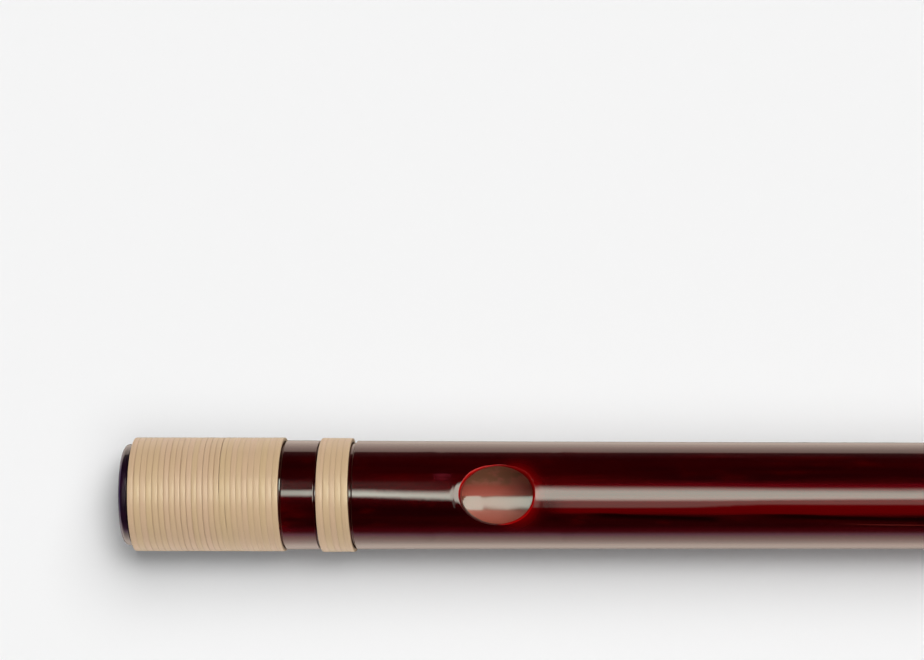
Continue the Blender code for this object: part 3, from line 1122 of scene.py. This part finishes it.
def cork_material():
    t = new_material("cork_grain")
    cells = t.node("ShaderNodeTexVoronoi", Vector=t.place(), Scale=1400.0)
    patches = t.noise(t.place(), scale=420.0, detail=4.0)
    colour = t.mix(t.span(patches, 0.35, 0.65), (0.48, 0.31, 0.17), (0.33, 0.19, 0.09))
    colour = t.mix(t.span(patches, 0.66, 0.72), colour, (0.1, 0.05, 0.025))
    t.set(Base_Color=colour, Roughness=0.85, Normal=t.bump(cells, 0.1 * MM, 0.6))
    return t.owner


def wax_material():
    t = new_material("poured_beeswax")
    cloud = t.noise(t.place(), scale=500.0)
    colour = t.mix(t.span(cloud, 0.35, 0.65), (0.74, 0.56, 0.22), (0.62, 0.42, 0.13))
    t.set(
        Base_Color=colour, Roughness=0.42, Normal=t.bump(cloud, 0.08 * MM, 0.5),
        Subsurface_Weight=0.25, Subsurface_Radius=(2.0 * MM, 1.2 * MM, 0.5 * MM),
    )
    return t.owner


# Studio

def make_floor(height):
    """A round pale floor. Far out it glows at its own lit level, so it ends in no edge."""
    mesh = bpy.data.meshes.new("floor")
    turns = circle(STUDIO_SIDES)
    points = [(STUDIO_RADIUS * cos(turn), STUDIO_RADIUS * sin(turn), 0.0) for turn in turns]
    mesh.from_pydata(points, [], [tuple(range(STUDIO_SIDES))])
    floor = bpy.data.objects.new("floor", mesh)
    floor.location.z = height
    add_to_scene(floor)
    t = new_material("floor_paper")
    t.set(Base_Color=(BACKDROP,) * 3, Roughness=1.0, Specular_IOR_Level=0.0)
    glow = t.node("ShaderNodeEmission", Color=(BACKDROP,) * 3)
    where = t.node("ShaderNodeTexCoord", output="Object")
    length = {"operation": "LENGTH"}
    away = t.node("ShaderNodeVectorMath", output="Value", settings=length, Vector=where)
    seen = t.mix_shader(t.span(away, *OWN_GLOW), t.shader.outputs[0], glow)
    _, side, _ = t.split(where)
    # In gloss the floor glows with a painted reflection instead of its lit shading: painted shadow
    # beside the flute, painted dark beyond +Y
    tint = t.mix(t.span(t.math("ABSOLUTE", side), *TINT_CHANGE), NEAR_TINT, FAR_TINT)
    reflected = t.node("ShaderNodeEmission", Color=tint, Strength=t.steps(side, PAINTED_FLOOR_REFLECTION))
    is_glossy = t.node("ShaderNodeLightPath", output="Is Glossy Ray")
    t.finish(t.mix_shader(is_glossy, seen, reflected))
    mesh.materials.append(t.owner)


def panel(y, low, high, low_soft, high_soft):
    """Brightness across a panel between two angles from overhead, in degrees."""
    degrees = np.degrees(np.arctan2(y, SOFTBOX_HEIGHT))
    return smooth((degrees - low) / low_soft + 0.5) * smooth((high - degrees) / high_soft + 0.5)


def straightened(x, y):
    """Place on the softbox's middle line that is mirrored at the same X of the flute as (x, y)."""
    lengthen = SOFTBOX_HEIGHT / CAMERA_HEIGHT
    slant = lengthen * np.hypot(y, SOFTBOX_HEIGHT) / SOFTBOX_HEIGHT
    over = (x + CAMERA_X * slant) / (1 + slant)
    return over + (over - CAMERA_X) * lengthen


def softbox_glow(x, y):
    """Brightness of the softbox: a bright band, a dim one beside it and a faint one at the head."""
    x = straightened(x, y)
    places, *edges = zip(*SOFTBOX_EDGES)
    low, high, low_soft, high_soft, level = [np.interp(x, places, edge) for edge in edges]
    bright = level * panel(y, low, high, low_soft, high_soft)
    dim = DIM_BRIGHTNESS * panel(y, np.interp(x, *DIM_EDGE), high, DIM_SOFTNESS, high_soft)
    dim = dim * between(x, *DIM_ENDS)
    faint = FAINT_BRIGHTNESS * panel(y, *FAINT_EDGES)
    faint = faint * smooth((FAINT_END - x) / FAINT_END_SOFTNESS)
    return np.maximum(bright, np.maximum(dim, faint)) * between(x, *SOFTBOX_ENDS)


def make_softbox():
    """A long overhead softbox, which draws the bright line along the lacquer."""
    sides = zip(SOFTBOX_SIZE, SOFTBOX_POINTS)
    xs, ys = [np.linspace(-size / 2, size / 2, count) for size, count in sides]
    shell = Shell()
    rows = [shell.row([(x, y, AXIS_Z + SOFTBOX_HEIGHT) for y in ys]) for x in xs]
    for lower, upper in zip(rows, rows[1:]):
        shell.strip(lower, upper, closed=False)
    t = new_material("softbox_cloth")
    glow, _, _ = t.attribute("glow")
    strength = t.times(glow, SOFTBOX_RADIANCE)
    t.finish(t.node("ShaderNodeEmission", Color=SOFTBOX_TINT, Strength=strength))
    softbox = make_piece("softbox", shell, [t.owner])
    values = softbox_glow(*np.meshgrid(xs, ys, indexing="ij")).ravel()
    add_values(softbox, "glow", np.stack([values, values, values], -1))
    softbox.visible_camera = False
    softbox.visible_diffuse = False
    softbox.visible_shadow = False


def make_sun(name, angle, spread, strength, reached=None):
    """A broad soft light from an angle across the flute, leaning towards the tail."""
    data = bpy.data.lights.new(name, "SUN")
    data.energy = strength
    data.angle = radians(spread)
    lamp = bpy.data.objects.new(name, data)
    lamp.rotation_mode = "YXZ"
    lamp.rotation_euler = (-radians(angle), radians(SUN_LEAN), 0.0)
    lamp.visible_glossy = False
    if reached:
        lamp.light_linking.receiver_collection = reached
    add_to_scene(lamp)


def make_world():
    """Pale all round for the camera. In gloss it glows low on the -Y side and is dark elsewhere."""
    world = bpy.data.worlds.new("studio")
    bpy.context.scene.world = world
    t = Tree(world, "Background")
    _, side, up = t.split(t.node("ShaderNodeTexCoord", output="Generated"))
    height = t.span(up, 0.0, GLOW_TOP, HORIZON, OVERHEAD, "LINEAR")
    near = t.span(side, *GLOW_SIDE, OVERHEAD, 1.0, "LINEAR")
    path = t.add("ShaderNodeLightPath").outputs
    reflected = t.math("MAXIMUM", path["Is Glossy Ray"], path["Is Transmission Ray"])
    seen = t.choose(reflected, 0.0, t.times(height, near))
    t.set(Color=(1.0, 1.0, 1.0), Strength=t.choose(path["Is Camera Ray"], seen, BACKDROP))


def make_camera():
    data = bpy.data.cameras.new("camera")
    data.sensor_width = SENSOR_WIDTH
    data.lens = CAMERA_LENS
    data.clip_start, data.clip_end = CAMERA_CLIP
    camera = bpy.data.objects.new("camera", data)
    add_to_scene(camera)
    aim = Vector((-tan(CAMERA_YAW), tan(CAMERA_PITCH), -1.0)).normalized()
    right = Vector((1.0, 0.0, 0.0))
    right = (right - aim * right.dot(aim)).normalized()
    up = (-aim).cross(right)
    turned_right = right * cos(CAMERA_ROLL) + up * sin(CAMERA_ROLL)
    turned_up = up * cos(CAMERA_ROLL) - right * sin(CAMERA_ROLL)
    rotation = Matrix((turned_right, turned_up, -aim)).transposed()
    place = Matrix.Translation((CAMERA_X, 0.0, AXIS_Z + CAMERA_HEIGHT))
    camera.matrix_world = place @ rotation.to_4x4()
    bpy.context.scene.camera = camera


def make_windings():
    rattan = rattan_material()
    head = make_winding(
        "head_winding", "head_binding", HEAD_TURNS, WIDE_SQUARE, rattan, HEAD_SEED,
        gaps=HEAD_GAPS, shift=HEAD_SHIFT,
    )
    tail = make_winding("tail_winding", "tail_binding", TAIL_TURNS, WIDE_SQUARE, rattan, TAIL_SEED)
    rings = [
        make_winding(
            node + "_winding", node, RING_TURNS, RING_SQUARE, rattan, RING_SEED + i,
            height=RING_STRAND_HEIGHT,
        )
        for i, node in enumerate(RING_NODES)
    ]
    return [head, tail, *rings]


def main():
    make_camera()
    make_world()

    pieces = [make_tube(), make_cap(), make_wax()]
    dress_plug()
    pieces += make_windings()

    low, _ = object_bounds()
    make_floor(low.z)
    make_softbox()
    for name, values in SUNS.items():
        make_sun(name, *values)
    flute = bpy.data.collections.new("flute")
    for piece in pieces:
        flute.objects.link(piece)
    make_sun("side", *SIDE_SUN, flute)

    bpy.context.scene.view_settings.view_transform = "Standard"


main()
